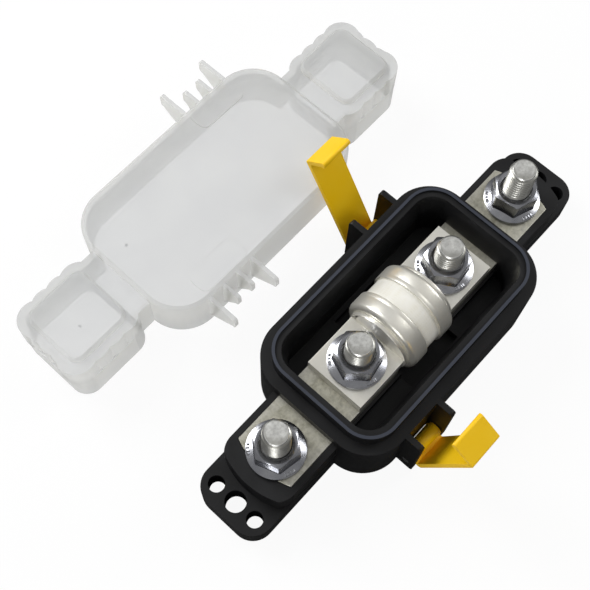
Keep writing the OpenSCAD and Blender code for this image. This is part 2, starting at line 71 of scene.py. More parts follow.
class Graph:
    """A shader node tree with short calls to add nodes and join them."""

    def __init__(self, tree: bpy.types.NodeTree) -> None:
        """Starts on an empty tree."""
        self.tree = tree
        tree.nodes.clear()

    def node(self, kind: str, **settings: object) -> bpy.types.Node:
        """Adds a node and sets its own properties.

        Args:
            kind: Blender's name of the node type, without the ShaderNode prefix.
            settings: Properties of the node, by name.

        Returns:
            The new node.
        """
        prefix = "" if kind.startswith("Node") else "ShaderNode"
        made = self.tree.nodes.new(prefix + kind)
        for name, value in settings.items():
            setattr(made, name, value)
        return made

    def feed(self, socket: bpy.types.NodeSocket, value: object) -> None:
        """Joins a socket to another one, or sets it to a plain value."""
        if isinstance(value, bpy.types.NodeSocket):
            self.tree.links.new(value, socket)
        else:
            socket.default_value = value

    def sums(self, operation: str, first: object, second: object = 0.0, clamp: bool = False) -> bpy.types.NodeSocket:
        """A Math node.

        Args:
            operation: Name of the operation, such as MULTIPLY.
            first: First value or socket.
            second: Second value or socket.
            clamp: Whether the result stays between 0 and 1.

        Returns:
            The node's output.
        """
        made = self.node("Math", operation=operation, use_clamp=clamp)
        self.feed(made.inputs[0], first)
        self.feed(made.inputs[1], second)
        return made.outputs[0]

    def spread(self, value: object, low: float, high: float, to_low: float, to_high: float) -> bpy.types.NodeSocket:
        """A clamped Map Range node, from low..high to to_low..to_high."""
        made = self.node("MapRange", clamp=True)
        for socket, number in zip(made.inputs[:5], (value, low, high, to_low, to_high)):
            self.feed(socket, number)
        return made.outputs[0]

    def noise(self, where: object, scale: object, detail: float = 3.0, rough: float = 0.5) -> bpy.types.NodeSocket:
        """A noise texture's value.

        Args:
            where: Texture coordinates.
            scale: Scale of the noise, per metre of the coordinates.
            detail: Number of octaves.
            rough: Weight of the finer octaves.

        Returns:
            The noise value, around 0.5.
        """
        made = self.node("TexNoise")
        self.feed(made.inputs["Vector"], where)
        self.feed(made.inputs["Scale"], scale)
        self.feed(made.inputs["Detail"], detail)
        self.feed(made.inputs["Roughness"], rough)
        return made.outputs[0]

    def blend(self, mask: object, first: object, second: object) -> bpy.types.NodeSocket:
        """A colour mix: first where mask is 0, second where it is 1."""
        made = self.node("Mix", data_type="RGBA")
        self.feed(made.inputs[0], mask)
        self.feed(made.inputs[6], first)
        self.feed(made.inputs[7], second)
        return made.outputs[2]

    def stretched(self, stretch: Point) -> bpy.types.NodeSocket:
        """Object coordinates, stretched along the axes."""
        place = self.node("TexCoord")
        moved = self.node("Mapping")
        self.feed(moved.inputs["Vector"], place.outputs["Object"])
        self.feed(moved.inputs["Scale"], stretch)
        return moved.outputs[0]


class Socket(Enum):
    """Kinds of socket that the effect groups have."""

    VALUE = "NodeSocketFloat"
    COLOUR = "NodeSocketColor"
    VECTOR = "NodeSocketVector"


@dataclass(frozen=True)
class Effect:
    """A surface effect that several finishes share, kept as one shader node group."""

    name: str
    takes: tuple[tuple[str, Socket, object], ...]
    gives: tuple[tuple[str, Socket], ...]
    wiring: Callable[[Graph, bpy.types.Node, bpy.types.Node], None]

    def group(self) -> bpy.types.NodeTree:
        """Makes the node group, or finds it if it is there.

        Returns:
            The effect's node tree.
        """
        if self.name in bpy.data.node_groups:
            return bpy.data.node_groups[self.name]
        tree = bpy.data.node_groups.new(self.name, "ShaderNodeTree")
        for label, kind, start in self.takes:
            socket = tree.interface.new_socket(label, in_out="INPUT", socket_type=kind.value)
            socket.default_value = start
        for label, kind in self.gives:
            tree.interface.new_socket(label, in_out="OUTPUT", socket_type=kind.value)
        graph = Graph(tree)
        self.wiring(graph, graph.node("NodeGroupInput"), graph.node("NodeGroupOutput"))
        return tree

    def place(self, graph: Graph, **values: object) -> bpy.types.Node:
        """Places the effect in a material.

        Args:
            graph: The material's nodes.
            values: Values for the group's inputs, with _ for a space in a name.

        Returns:
            The group node.
        """
        made = graph.node("Group")
        made.node_tree = self.group()
        for label, value in values.items():
            graph.feed(made.inputs[label.replace("_", " ")], value)
        return made


def wire_moulded_grain(graph: Graph, given: bpy.types.Node, out: bpy.types.Node) -> None:
    """Fine spark-eroded grain with slow flow marks, for moulded plastic."""
    place = graph.node("TexCoord").outputs["Object"]
    fine = graph.noise(place, given.outputs["Grain Scale"], 4.0, 0.6)
    slow = graph.noise(place, graph.sums("MULTIPLY", given.outputs["Grain Scale"], 0.03), 2.0)
    height = graph.sums("ADD", fine, graph.sums("MULTIPLY", slow, 0.3))
    graph.feed(out.inputs["Height"], height)
    graph.feed(out.inputs["Tone"], graph.spread(slow, 0.35, 0.65, 0.0, 1.0))


def wire_mottle(graph: Graph, given: bpy.types.Node, out: bpy.types.Node) -> None:
    """Cloudy patches with small specks, for plated metal."""
    place = graph.node("TexCoord").outputs["Object"]
    cloud = graph.noise(place, given.outputs["Cloud Scale"], 5.0, 0.62)
    speck = graph.noise(place, graph.sums("MULTIPLY", given.outputs["Cloud Scale"], 9.0), 3.0, 0.7)
    graph.feed(out.inputs["Clouds"], graph.spread(cloud, 0.36, 0.64, 0.0, 1.0))
    graph.feed(out.inputs["Specks"], graph.spread(speck, 0.62, 0.74, 0.0, 1.0))
    graph.feed(out.inputs["Height"], graph.sums("ADD", cloud, graph.sums("MULTIPLY", speck, 0.25)))


def wire_turning(graph: Graph, given: bpy.types.Node, out: bpy.types.Node) -> None:
    """Rings left by a lathe or a die, round an upright axis through Centre."""
    place = graph.node("TexCoord").outputs["Object"]
    away = graph.node("VectorMath", operation="SUBTRACT")
    graph.feed(away.inputs[0], place)
    graph.feed(away.inputs[1], given.outputs["Centre"])
    flat = graph.node("VectorMath", operation="MULTIPLY")
    graph.feed(flat.inputs[0], away.outputs[0])
    flat.inputs[1].default_value = (1.0, 1.0, 0.0)
    reach = graph.node("VectorMath", operation="LENGTH")
    graph.feed(reach.inputs[0], flat.outputs[0])
    rings = graph.node("TexNoise", noise_dimensions="1D")
    graph.feed(rings.inputs["W"], graph.sums("MULTIPLY", reach.outputs["Value"], given.outputs["Rings"]))
    rings.inputs["Scale"].default_value = 1.0
    rings.inputs["Detail"].default_value = 2.0
    graph.feed(out.inputs["Height"], rings.outputs[0])
    graph.feed(out.inputs["Radius"], reach.outputs["Value"])


def wire_scuffs(graph: Graph, given: bpy.types.Node, out: bpy.types.Node) -> None:
    """Sparse thin handling scratches in two directions."""
    masks = []
    for stretch in ((1.0, 26.0, 26.0), (26.0, 1.4, 26.0)):
        where = graph.stretched(stretch)
        line = graph.noise(where, given.outputs["Scuff Scale"], 2.0, 0.5)
        masks.append(graph.spread(line, 0.7, 0.76, 0.0, 1.0))
    both = graph.sums("MAXIMUM", masks[0], masks[1])
    graph.feed(out.inputs["Mask"], graph.sums("MULTIPLY", both, given.outputs["Amount"], clamp=True))


def wire_worn_edges(graph: Graph, given: bpy.types.Node, out: bpy.types.Node) -> None:
    """Mask of the outward edges, where a part rubs bright."""
    shape = graph.node("NewGeometry").outputs["Pointiness"]
    place = graph.node("TexCoord").outputs["Object"]
    broken = graph.noise(place, 900.0, 3.0, 0.6)
    edge = graph.spread(shape, given.outputs["From"], given.outputs["To"], 0.0, 1.0)
    graph.feed(out.inputs["Mask"], graph.sums("MULTIPLY", edge, graph.spread(broken, 0.3, 0.6, 0.5, 1.0)))


def wire_level_band(graph: Graph, given: bpy.types.Node, out: bpy.types.Node) -> None:
    """Mask of the surfaces between two heights, with soft borders."""
    split = graph.node("SeparateXYZ")
    graph.feed(split.inputs[0], graph.node("TexCoord").outputs["Object"])
    up = graph.node("MapRange", clamp=True)
    graph.feed(up.inputs[0], split.outputs["Z"])
    graph.feed(up.inputs[1], given.outputs["Low"])
    graph.feed(up.inputs[2], graph.sums("ADD", given.outputs["Low"], given.outputs["Border"]))
    down = graph.node("MapRange", clamp=True)
    graph.feed(down.inputs[0], split.outputs["Z"])
    graph.feed(down.inputs[1], given.outputs["High"])
    graph.feed(down.inputs[2], graph.sums("ADD", given.outputs["High"], given.outputs["Border"]))
    graph.feed(out.inputs["Mask"], graph.sums("SUBTRACT", up.outputs[0], down.outputs[0], clamp=True))


MOULDED_GRAIN = Effect("moulded_grain", (("Grain Scale", Socket.VALUE, 2500.0),),
                       (("Height", Socket.VALUE), ("Tone", Socket.VALUE)), wire_moulded_grain)
MOTTLE = Effect("mottle", (("Cloud Scale", Socket.VALUE, 120.0),),
                (("Clouds", Socket.VALUE), ("Specks", Socket.VALUE), ("Height", Socket.VALUE)), wire_mottle)
TURNING = Effect("turning", (("Centre", Socket.VECTOR, (0.0, 0.0, 0.0)), ("Rings", Socket.VALUE, 4000.0)),
                 (("Height", Socket.VALUE), ("Radius", Socket.VALUE)), wire_turning)
SCUFFS = Effect("scuffs", (("Scuff Scale", Socket.VALUE, 60.0), ("Amount", Socket.VALUE, 0.5)),
                (("Mask", Socket.VALUE),), wire_scuffs)
WORN_EDGES = Effect("worn_edges", (("From", Socket.VALUE, 0.52), ("To", Socket.VALUE, 0.6)),
                    (("Mask", Socket.VALUE),), wire_worn_edges)


LEVEL_BAND = Effect("level_band", (("Low", Socket.VALUE, 0.0), ("High", Socket.VALUE, 1.0),
                                   ("Border", Socket.VALUE, 0.0002)), (("Mask", Socket.VALUE),), wire_level_band)


@dataclass(frozen=True)
class Finish:
    """A finish: the name of its slot in the record, and its plain shader values."""

    slot: str
    colour: Colour
    metallic: float = 0.0
    rough_low: float = 0.4
    rough_high: float = 0.5
    relief: float = 0.02
    extras: tuple[tuple[str, object], ...] = ()

    def start(self) -> tuple[bpy.types.Material, Graph, bpy.types.Node]:
        """Starts the material with its Principled shader.

        Returns:
            The material, its nodes and the shader node.
        """
        made = bpy.data.materials.new(self.slot)
        made.use_nodes = True
        graph = Graph(made.node_tree)
        shader = graph.node("BsdfPrincipled")
        end = graph.node("OutputMaterial")
        graph.feed(end.inputs["Surface"], shader.outputs[0])
        shader.inputs["Base Color"].default_value = self.colour
        shader.inputs["Metallic"].default_value = self.metallic
        for label, value in self.extras:
            shader.inputs[label].default_value = value
        return made, graph, shader

    def relieve(self, graph: Graph, shader: bpy.types.Node, height: object, strength: float = 0.35) -> None:
        """Feeds a height through a Bump node to the shader's normal.

        Args:
            graph: The material's nodes.
            shader: The Principled shader.
            height: Height socket.
            strength: Strength of the bump.
        """
        bump = graph.node("Bump")
        bump.inputs["Strength"].default_value = strength
        bump.inputs["Distance"].default_value = self.relief * MM
        graph.feed(bump.inputs["Height"], height)
        graph.feed(shader.inputs["Normal"], bump.outputs[0])

    def material(self) -> bpy.types.Material:
        """Makes the finish's material."""
        raise NotImplementedError


@dataclass(frozen=True)
class MouldedFinish(Finish):
    """Moulded plastic with fine grain, flow marks, light scuffs and, where asked, a painted highlight line."""

    grain: float = 2500.0
    pale: Colour = (0.05, 0.05, 0.055, 1.0)
    scuffed: float = 0.3
    # Start height in millimetres and colour of the painted highlight line; a height of 0 leaves it out.
    painted_highlight_from: float = 0.0
    line: Colour = (0.1, 0.12, 0.15, 1.0)

    def material(self) -> bpy.types.Material:
        """Makes the plastic, with a painted highlight: a paler band on the surfaces above a set height, in
        millimetres, unless that height is 0.

        Returns:
            The material.
        """
        made, graph, shader = self.start()
        grain = MOULDED_GRAIN.place(graph, Grain_Scale=self.grain)
        scuffs = SCUFFS.place(graph, Amount=self.scuffed)
        edges = WORN_EDGES.place(graph, From=0.53, To=0.62)
        tone = graph.sums("MULTIPLY", grain.outputs["Tone"], 0.25)
        tone = graph.sums("MAXIMUM", tone, graph.sums("MULTIPLY", scuffs.outputs["Mask"], 0.35))
        tone = graph.sums("MAXIMUM", tone, graph.sums("MULTIPLY", edges.outputs["Mask"], 0.5))
        base = graph.blend(tone, self.colour, self.pale)
        # Painted highlight: surfaces above the start height are painted in the pale line colour.
        if self.painted_highlight_from:
            band = LEVEL_BAND.place(graph, Low=self.painted_highlight_from * MM, High=1.0)
            base = graph.blend(band.outputs["Mask"], base, self.line)
        graph.feed(shader.inputs["Base Color"], base)
        rough = graph.spread(grain.outputs["Tone"], 0.0, 1.0, self.rough_low, self.rough_high)
        graph.feed(shader.inputs["Roughness"], rough)
        self.relieve(graph, shader, grain.outputs["Height"])
        return made


@dataclass(frozen=True)
class PlatedFinish(Finish):
    """Plated metal with cloudy patches, specks and bright rubbed edges."""

    clouds: float = 120.0
    stain: Colour = (0.3, 0.28, 0.22, 1.0)
    stained: float = 0.6
    worn: float = 1.0
    bright: Colour = (0.8, 0.79, 0.76, 1.0)

    def material(self) -> bpy.types.Material:
        """Makes the metal.

        Returns:
            The material.
        """
        made, graph, shader = self.start()
        mottle = MOTTLE.place(graph, Cloud_Scale=self.clouds)
        scuffs = SCUFFS.place(graph, Scuff_Scale=90.0, Amount=0.5)
        edges = WORN_EDGES.place(graph, From=0.53, To=0.6)
        mask = graph.sums("MULTIPLY", mottle.outputs["Clouds"], self.stained)
        mask = graph.sums("MAXIMUM", mask, graph.sums("MULTIPLY", mottle.outputs["Specks"], self.stained))
        base = graph.blend(mask, self.colour, self.stain)
        rubbed = graph.sums("MAXIMUM", graph.sums("MULTIPLY", edges.outputs["Mask"], self.worn),
                            graph.sums("MULTIPLY", scuffs.outputs["Mask"], 0.6))
        graph.feed(shader.inputs["Base Color"], graph.blend(rubbed, base, self.bright))
        rough = graph.spread(mottle.outputs["Clouds"], 0.0, 1.0, self.rough_low, self.rough_high)
        graph.feed(shader.inputs["Roughness"], rough)
        self.relieve(graph, shader, mottle.outputs["Height"])
        return made


@dataclass(frozen=True)
class StudFinish(Finish):
    """Rolled steel thread with lathe rings on its sawn end, and a painted highlight on the chamfer ring round that
    end.
    """

    centre: Point = (0.0, 0.0, 0.0)
    dull: Colour = (0.32, 0.32, 0.3, 1.0)

    def material(self) -> bpy.types.Material:
        """Makes the steel of one stud.

        Returns:
            The material.
        """
        made, graph, shader = self.start()
        mottle = MOTTLE.place(graph, Cloud_Scale=400.0)
        rings = TURNING.place(graph, Centre=self.centre, Rings=5200.0)
        edges = WORN_EDGES.place(graph, From=0.52, To=0.58)
        mask = graph.sums("MULTIPLY", mottle.outputs["Clouds"], 0.22)
        base = graph.blend(mask, self.colour, self.dull)
        # Painted highlight: a bright ring on the end's chamfer, joined with the rubbed edges into one pale mask.
        inside = graph.spread(rings.outputs["Radius"], 0.0037, 0.0039, 0.0, 1.0)
        outside = graph.spread(rings.outputs["Radius"], 0.0042, 0.0044, 1.0, 0.0)
        top = LEVEL_BAND.place(graph, Low=0.0448, High=1.0)
        rim = graph.sums("MULTIPLY", graph.sums("MULTIPLY", inside, outside), top.outputs["Mask"])
        bright = graph.sums("MAXIMUM", rim, edges.outputs["Mask"])
        graph.feed(shader.inputs["Base Color"], graph.blend(bright, base, srgb(240, 240, 236)))
        rough = graph.spread(mottle.outputs["Clouds"], 0.0, 1.0, self.rough_low, self.rough_high)
        graph.feed(shader.inputs["Roughness"], rough)
        self.relieve(graph, shader, rings.outputs["Height"], 0.5)
        return made


@dataclass(frozen=True)
class WovenTubeFinish(Finish):
    """Wound glass cloth in resin: a faint weave under a satin skin."""

    thread: float = 1500.0

    def material(self) -> bpy.types.Material:
        """Makes the tube's resin.

        Returns:
            The material.
        """
        made, graph, shader = self.start()
        where = graph.stretched((1.0, 1.0, 1.0))
        heights = []
        for axis in ("X", "Z"):
            wave = graph.node("TexWave", wave_type="BANDS", bands_direction=axis)
            graph.feed(wave.inputs["Vector"], where)
            wave.inputs["Scale"].default_value = self.thread / 4.0
            wave.inputs["Distortion"].default_value = 1.2
            heights.append(wave.outputs["Fac"])
        weave = graph.sums("MULTIPLY", heights[0], heights[1])
        mottle = MOTTLE.place(graph, Cloud_Scale=160.0)
        tone = graph.sums("ADD", graph.sums("MULTIPLY", weave, 0.2), graph.sums("MULTIPLY", mottle.outputs["Clouds"], 0.3))
        graph.feed(shader.inputs["Base Color"], graph.blend(tone, self.colour, srgb(214, 208, 186)))
        graph.feed(shader.inputs["Roughness"], graph.spread(weave, 0.0, 1.0, self.rough_low, self.rough_high))
        self.relieve(graph, shader, weave, 0.3)
        return made


@dataclass(frozen=True)
class CoverFinish(Finish):
    """Milky translucent plastic whose upright walls are painted paler, a painted light that lifts the shade on them.
    """

    # Pale colour painted on the upright walls as painted light.
    painted_wall_light: Colour = (0.6, 0.6, 0.52, 1.0)
    clouded: float = 0.12

    def material(self) -> bpy.types.Material:
        """Makes the cover's plastic.

        Returns:
            The material.
        """
        made, graph, shader = self.start()
        grain = MOULDED_GRAIN.place(graph, Grain_Scale=1400.0)
        tone = graph.sums("MULTIPLY", grain.outputs["Tone"], self.clouded)
        # Painted light: the more upright a face, the more it is painted towards the pale wall colour.
        split = graph.node("SeparateXYZ")
        graph.feed(split.inputs[0], graph.node("TexCoord").outputs["Normal"])
        upright = graph.sums("SUBTRACT", 1.0, graph.sums("ABSOLUTE", split.outputs["Z"]), clamp=True)
        mask = graph.sums("MAXIMUM", tone, upright)
        graph.feed(shader.inputs["Base Color"], graph.blend(mask, self.colour, self.painted_wall_light))
        rough = graph.spread(grain.outputs["Tone"], 0.0, 1.0, self.rough_low, self.rough_high)
        graph.feed(shader.inputs["Roughness"], rough)
        self.relieve(graph, shader, grain.outputs["Height"], 0.2)
        return made


# The black plastic carries a painted highlight: a pale bluish line on the raised bead of the tub's lip, above 33.55
# mm.
BLACK_PLASTIC = MouldedFinish("black_plastic", srgb(11, 11, 12), rough_low=0.42, rough_high=0.52, relief=0.03,
                              pale=srgb(27, 28, 31), grain=2600.0, painted_highlight_from=33.55, line=srgb(52, 56, 66),
                              extras=(("Specular IOR Level", 0.35),))
YELLOW_PLASTIC = MouldedFinish("yellow_plastic", srgb(255, 204, 0), rough_low=0.46, rough_high=0.54, relief=0.02,
                               pale=srgb(255, 216, 50), scuffed=0.1)
TIN_PLATE = PlatedFinish("tin_plate", srgb(206, 203, 184), metallic=1.0, rough_low=0.38, rough_high=0.5,
                         relief=0.04, clouds=420.0, stain=srgb(140, 137, 116), stained=0.85)
ZINC_STEEL = PlatedFinish("zinc_steel", srgb(176, 177, 181), metallic=1.0, rough_low=0.2, rough_high=0.28,
                          relief=0.002, clouds=200.0, stain=srgb(132, 134, 143), stained=0.5, worn=0.0,
                          bright=srgb(206, 207, 210))
PIN_STEEL = PlatedFinish("pin_steel", srgb(205, 207, 209), metallic=1.0, rough_low=0.2, rough_high=0.3,
                         relief=0.01, clouds=300.0, stain=srgb(150, 152, 156), stained=0.3)
FUSE_METAL = PlatedFinish("fuse_metal", srgb(248, 246, 237), metallic=0.68, rough_low=0.28, rough_high=0.4,
                          relief=0.02, clouds=140.0, stain=srgb(216, 212, 198), stained=0.45)
ELEMENT_METAL = PlatedFinish("element_metal", srgb(206, 188, 130), metallic=1.0, relief=0.01)
FILLER_SAND = MouldedFinish("filler_sand", srgb(206, 196, 168), rough_low=0.8, rough_high=0.95, relief=0.3,
                            pale=srgb(235, 228, 205), grain=1800.0)
TUBE_RESIN = WovenTubeFinish("tube_resin", srgb(236, 235, 228), rough_low=0.34, rough_high=0.44, relief=0.02)
STUD_STEEL = StudFinish("stud_steel", srgb(176, 175, 168), metallic=1.0, rough_low=0.3, rough_high=0.44, relief=0.02)
# The cover's pale wall colour is painted light on its upright walls.
COVER_PLASTIC = CoverFinish("cover_plastic", srgb(203, 204, 205), rough_low=0.34, rough_high=0.42, relief=0.004,
                            painted_wall_light=srgb(246, 246, 241),
                            extras=(("Transmission Weight", 0.3), ("IOR", 1.4), ("Alpha", 0.52)))


class Palette:
    """Makes each finish's material once and hands it out."""

    def __init__(self) -> None:
        """Starts with no material made."""
        self.made: dict[tuple[str, object], bpy.types.Material] = {}

    def of(self, finish: Finish) -> bpy.types.Material:
        """The material of a finish, made at its first use."""
        if finish not in self.made:
            self.made[finish] = finish.material()
        return self.made[finish]


PALETTE = Palette()


@dataclass
class Piece:
    """One mesh under construction: points in millimetres and faces."""

    name: str
    finish: Finish
    body: str = "base"
    points: list[Point] = field(default_factory=list)
    faces: list[tuple[int, ...]] = field(default_factory=list)

    def ring(self, points: Sequence[Point]) -> list[int]:
        """Adds a ring of points and returns their numbers."""
        first = len(self.points)
        self.points.extend(points)
        return list(range(first, first + len(points)))

    def bridge(self, low: Sequence[int], high: Sequence[int]) -> None:
        """Joins two closed rings of equal length with four-sided faces."""
        count = len(low)
        for i in range(count):
            j = (i + 1) % count
            self.faces.append((low[i], low[j], high[j], high[i]))

    def cap(self, ring: Sequence[int], flip: bool = False) -> None:
        """Closes a ring with one flat face."""
        self.faces.append(tuple(reversed(ring)) if flip else tuple(ring))

    def build(self, stands_for: Sequence[str] = (), sharp: float = 32.0, bevel: float = 0.0) -> bpy.types.Object:
        """Turns the draft into a dressed object in the scene.

        Args:
            stands_for: CAD nodes that the piece replaces.
            sharp: Angle in degrees above which an edge stays sharp.
            bevel: Width in millimetres of a bevel on its sharp edges, or 0.

        Returns:
            The new object.
        """
        mesh = bpy.data.meshes.new(self.name)
        scaled = [(x * MM, y * MM, z * MM) for x, y, z in self.points]
        mesh.from_pydata(scaled, [], self.faces)
        work = bmesh.new()
        work.from_mesh(mesh)
        bmesh.ops.remove_doubles(work, verts=work.verts, dist=0.002 * MM)
        bmesh.ops.dissolve_degenerate(work, edges=work.edges, dist=0.001 * MM)
        bmesh.ops.recalc_face_normals(work, faces=work.faces)
        work.to_mesh(mesh)
        work.free()
        made = bpy.data.objects.new(self.name, mesh)
        bpy.context.scene.collection.objects.link(made)
        mesh.shade_smooth()
        mesh.set_sharp_from_angle(angle=math.radians(sharp))
        mesh.materials.append(PALETTE.of(self.finish))
        if bevel:
            soften(made, bevel)
        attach(made, self.body)
        if stands_for:
            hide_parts(*stands_for)
        LOG.info("piece %s: %d faces", self.name, len(mesh.polygons))
        return made


def soften(thing: bpy.types.Object, width: float, segments: int = 2, angle: float = 32.0) -> None:
    """Rounds the sharp edges of an object with modifiers.

    Args:
        thing: The object.
        width: Width of the rounding, in millimetres.
        segments: Steps across the rounding.
        angle: Edges sharper than this many degrees are rounded.
    """
    weld = thing.modifiers.new("weld", "WELD")
    weld.merge_threshold = 0.001 * MM
    flat = thing.modifiers.new("flat", "DECIMATE")
    flat.decimate_type = "DISSOLVE"
    flat.angle_limit = math.radians(0.3)
    bevel = thing.modifiers.new("bevel", "BEVEL")
    bevel.width = width * MM
    bevel.segments = segments
    bevel.limit_method = "ANGLE"
    bevel.angle_limit = math.radians(angle)
    bevel.use_clamp_overlap = True
    bevel.harden_normals = True
    bevel.miter_outer = "MITER_ARC"


def dress(node: str, finish: Finish, bevel: float = 0.0, segments: int = 2) -> None:
    """Gives a CAD node its finish and softer edges.

    Args:
        node: Name of the node.
        finish: Its finish.
        bevel: Width of the rounding of its edges, in millimetres, or 0.
        segments: Steps across the rounding.
    """
    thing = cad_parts[node]
    thing.data.materials.clear()
    thing.data.materials.append(PALETTE.of(finish))
    if bevel:
        soften(thing, bevel, segments)
    LOG.info("node %s dressed as %s", node, finish.slot)


def lathe(piece: Piece, profile: Sequence[tuple[float, float]], place: Callable[[float, float, float], Point],
          steps: int = 96, closed: bool = True) -> None:
    """Turns a profile about an axis.

    Args:
        piece: The draft that gets the faces.
        profile: Radius and height pairs, in millimetres.
        place: Makes a point from angle, radius and height.
        steps: Number of points round the axis.
        closed: Whether the profile's last ring joins its first.
    """
    rings = []
    for radius, height in profile:
        rings.append(piece.ring([place(2 * math.pi * i / steps, radius, height) for i in range(steps)]))
    for low, high in zip(rings, rings[1:]):
        piece.bridge(low, high)
    if closed:
        piece.bridge(rings[-1], rings[0])
    else:
        piece.cap(rings[0], flip=True)
        piece.cap(rings[-1])


def arc(centre: tuple[float, float], radius: float, start: float, end: float, steps: int) -> list[tuple[float, float]]:
    """Points of a circular arc in a profile, angles in degrees."""
    made = []
    for i in range(steps + 1):
        turn = math.radians(start + (end - start) * i / steps)
        made.append((centre[0] + radius * math.cos(turn), centre[1] + radius * math.sin(turn)))
    return made


@dataclass
class BaseTub:
    """The black base with its bars and hinge pins."""

    edge: float = 0.45
    bar_edge: float = 0.25

    def build(self) -> None:
        """Dresses the moulding, the bus bars and the pins."""
        dress("base_housing", BLACK_PLASTIC, self.edge)
        for end in ("a", "b"):
            dress("bus_bar_" + end, TIN_PLATE, self.bar_edge)
            dress("latch_pin_" + end, PIN_STEEL, 0.25)


@dataclass
class Stud:
    """A hexagon-headed stud with a rolled thread."""

    node: str
    x: float
    head_low: float = 4.2
    seat: float = 10.6
    top: float = 45.6
    radius: float = 5.0
    tip_radius: float = 3.94
    flats: float = 16.0
    pitch: float = 1.5
    depth: float = 0.86
    steps: int = 64
    rows: int = 10

    def thread_radius(self, phase: float) -> float:
        """Radius of the thread's flank at a phase of 0 to 1 along one pitch."""
        away = abs(phase - 0.5) * 2.0
        slope = (away - 0.12) / (1.0 - 0.12 - 0.22)
        return self.radius - 0.02 - self.depth * min(max(slope, 0.0), 1.0)

    def build(self) -> None:
        """Builds the thread and the head as one piece in place of the CAD node."""
        centre = (self.x * MM, 0.0, 0.0)
        finish = StudFinish(STUD_STEEL.slot, STUD_STEEL.colour, metallic=1.0, rough_low=0.3, rough_high=0.44,
                            relief=0.02, centre=centre)
        piece = Piece(self.node + "_threaded", finish)
        low, high = self.seat + 0.4, self.top
        turns = int((high - low) / self.pitch) + 2
        count = turns * self.rows
        grid = []
        for k in range(count):
            row = []
            for i in range(self.steps):
                lift = (k / self.rows + i / self.steps - 1.0) * self.pitch
                z = min(max(low + lift, low), high)
                r = self.thread_radius((k % self.rows) / self.rows)
                lead = self.tip_radius + (high - z) * 1.0
                foot = self.radius - 0.02 - max(0.0, (z - low - 2.0)) * 0.8
                r = min(max(r, foot), lead)
                turn = 2 * math.pi * i / self.steps
                row.append((self.x + r * math.cos(turn), r * math.sin(turn), z))
            grid.append(piece.ring(row))
        for k in range(count - self.rows):
            for i in range(self.steps):
                if i + 1 < self.steps:
                    right, above = grid[k][i + 1], grid[k + 1][i + 1]
                else:
                    right, above = grid[k + self.rows][0], grid[min(k + 1 + self.rows, count - 1)][0]
                piece.faces.append((grid[k][i], right, above, grid[k + 1][i]))
        steps = self.steps
        start = piece.ring([(self.x + (self.radius - 0.02) * math.cos(2 * math.pi * i / steps),
                             (self.radius - 0.02) * math.sin(2 * math.pi * i / steps), low) for i in range(steps)])
        end = piece.ring([(self.x + self.tip_radius * math.cos(2 * math.pi * i / steps),
                           self.tip_radius * math.sin(2 * math.pi * i / steps), high) for i in range(steps)])
        piece.cap(end)
        piece.cap(start, flip=True)
        self.add_head(piece)
        piece.build((self.node,), sharp=40.0)

    def add_head(self, piece: Piece) -> None:
        """Adds the chamfered hexagon head below the seat."""
        steps = 72
        corner = self.flats / math.sqrt(3.0)

        def rim(turn: float) -> float:
            """Radius of the hexagon at an angle."""
            part = (turn + math.pi / 6) % (math.pi / 3) - math.pi / 6
            return min(self.flats / 2 / math.cos(part), corner - 0.1)

        def level(height: float, limit: float) -> list[int]:
            """One ring of the hexagon, held inside a circle."""
            turns = [2 * math.pi * i / steps for i in range(steps)]
            return piece.ring([(self.x + min(rim(t), limit) * math.cos(t), min(rim(t), limit) * math.sin(t), height)
                               for t in turns])

        rings = [level(self.head_low, self.flats / 2 - 0.3), level(self.head_low + 0.6, corner),
                 level(self.seat, corner), level(self.seat, 4.9), level(self.seat + 0.5, 4.9)]
        piece.cap(rings[0], flip=True)
        for low, high in zip(rings, rings[1:]):
            piece.bridge(low, high)


class Knurl(Enum):
    """What the top of a nut's flange carries."""

    PLAIN = 0
    TICKS = 1


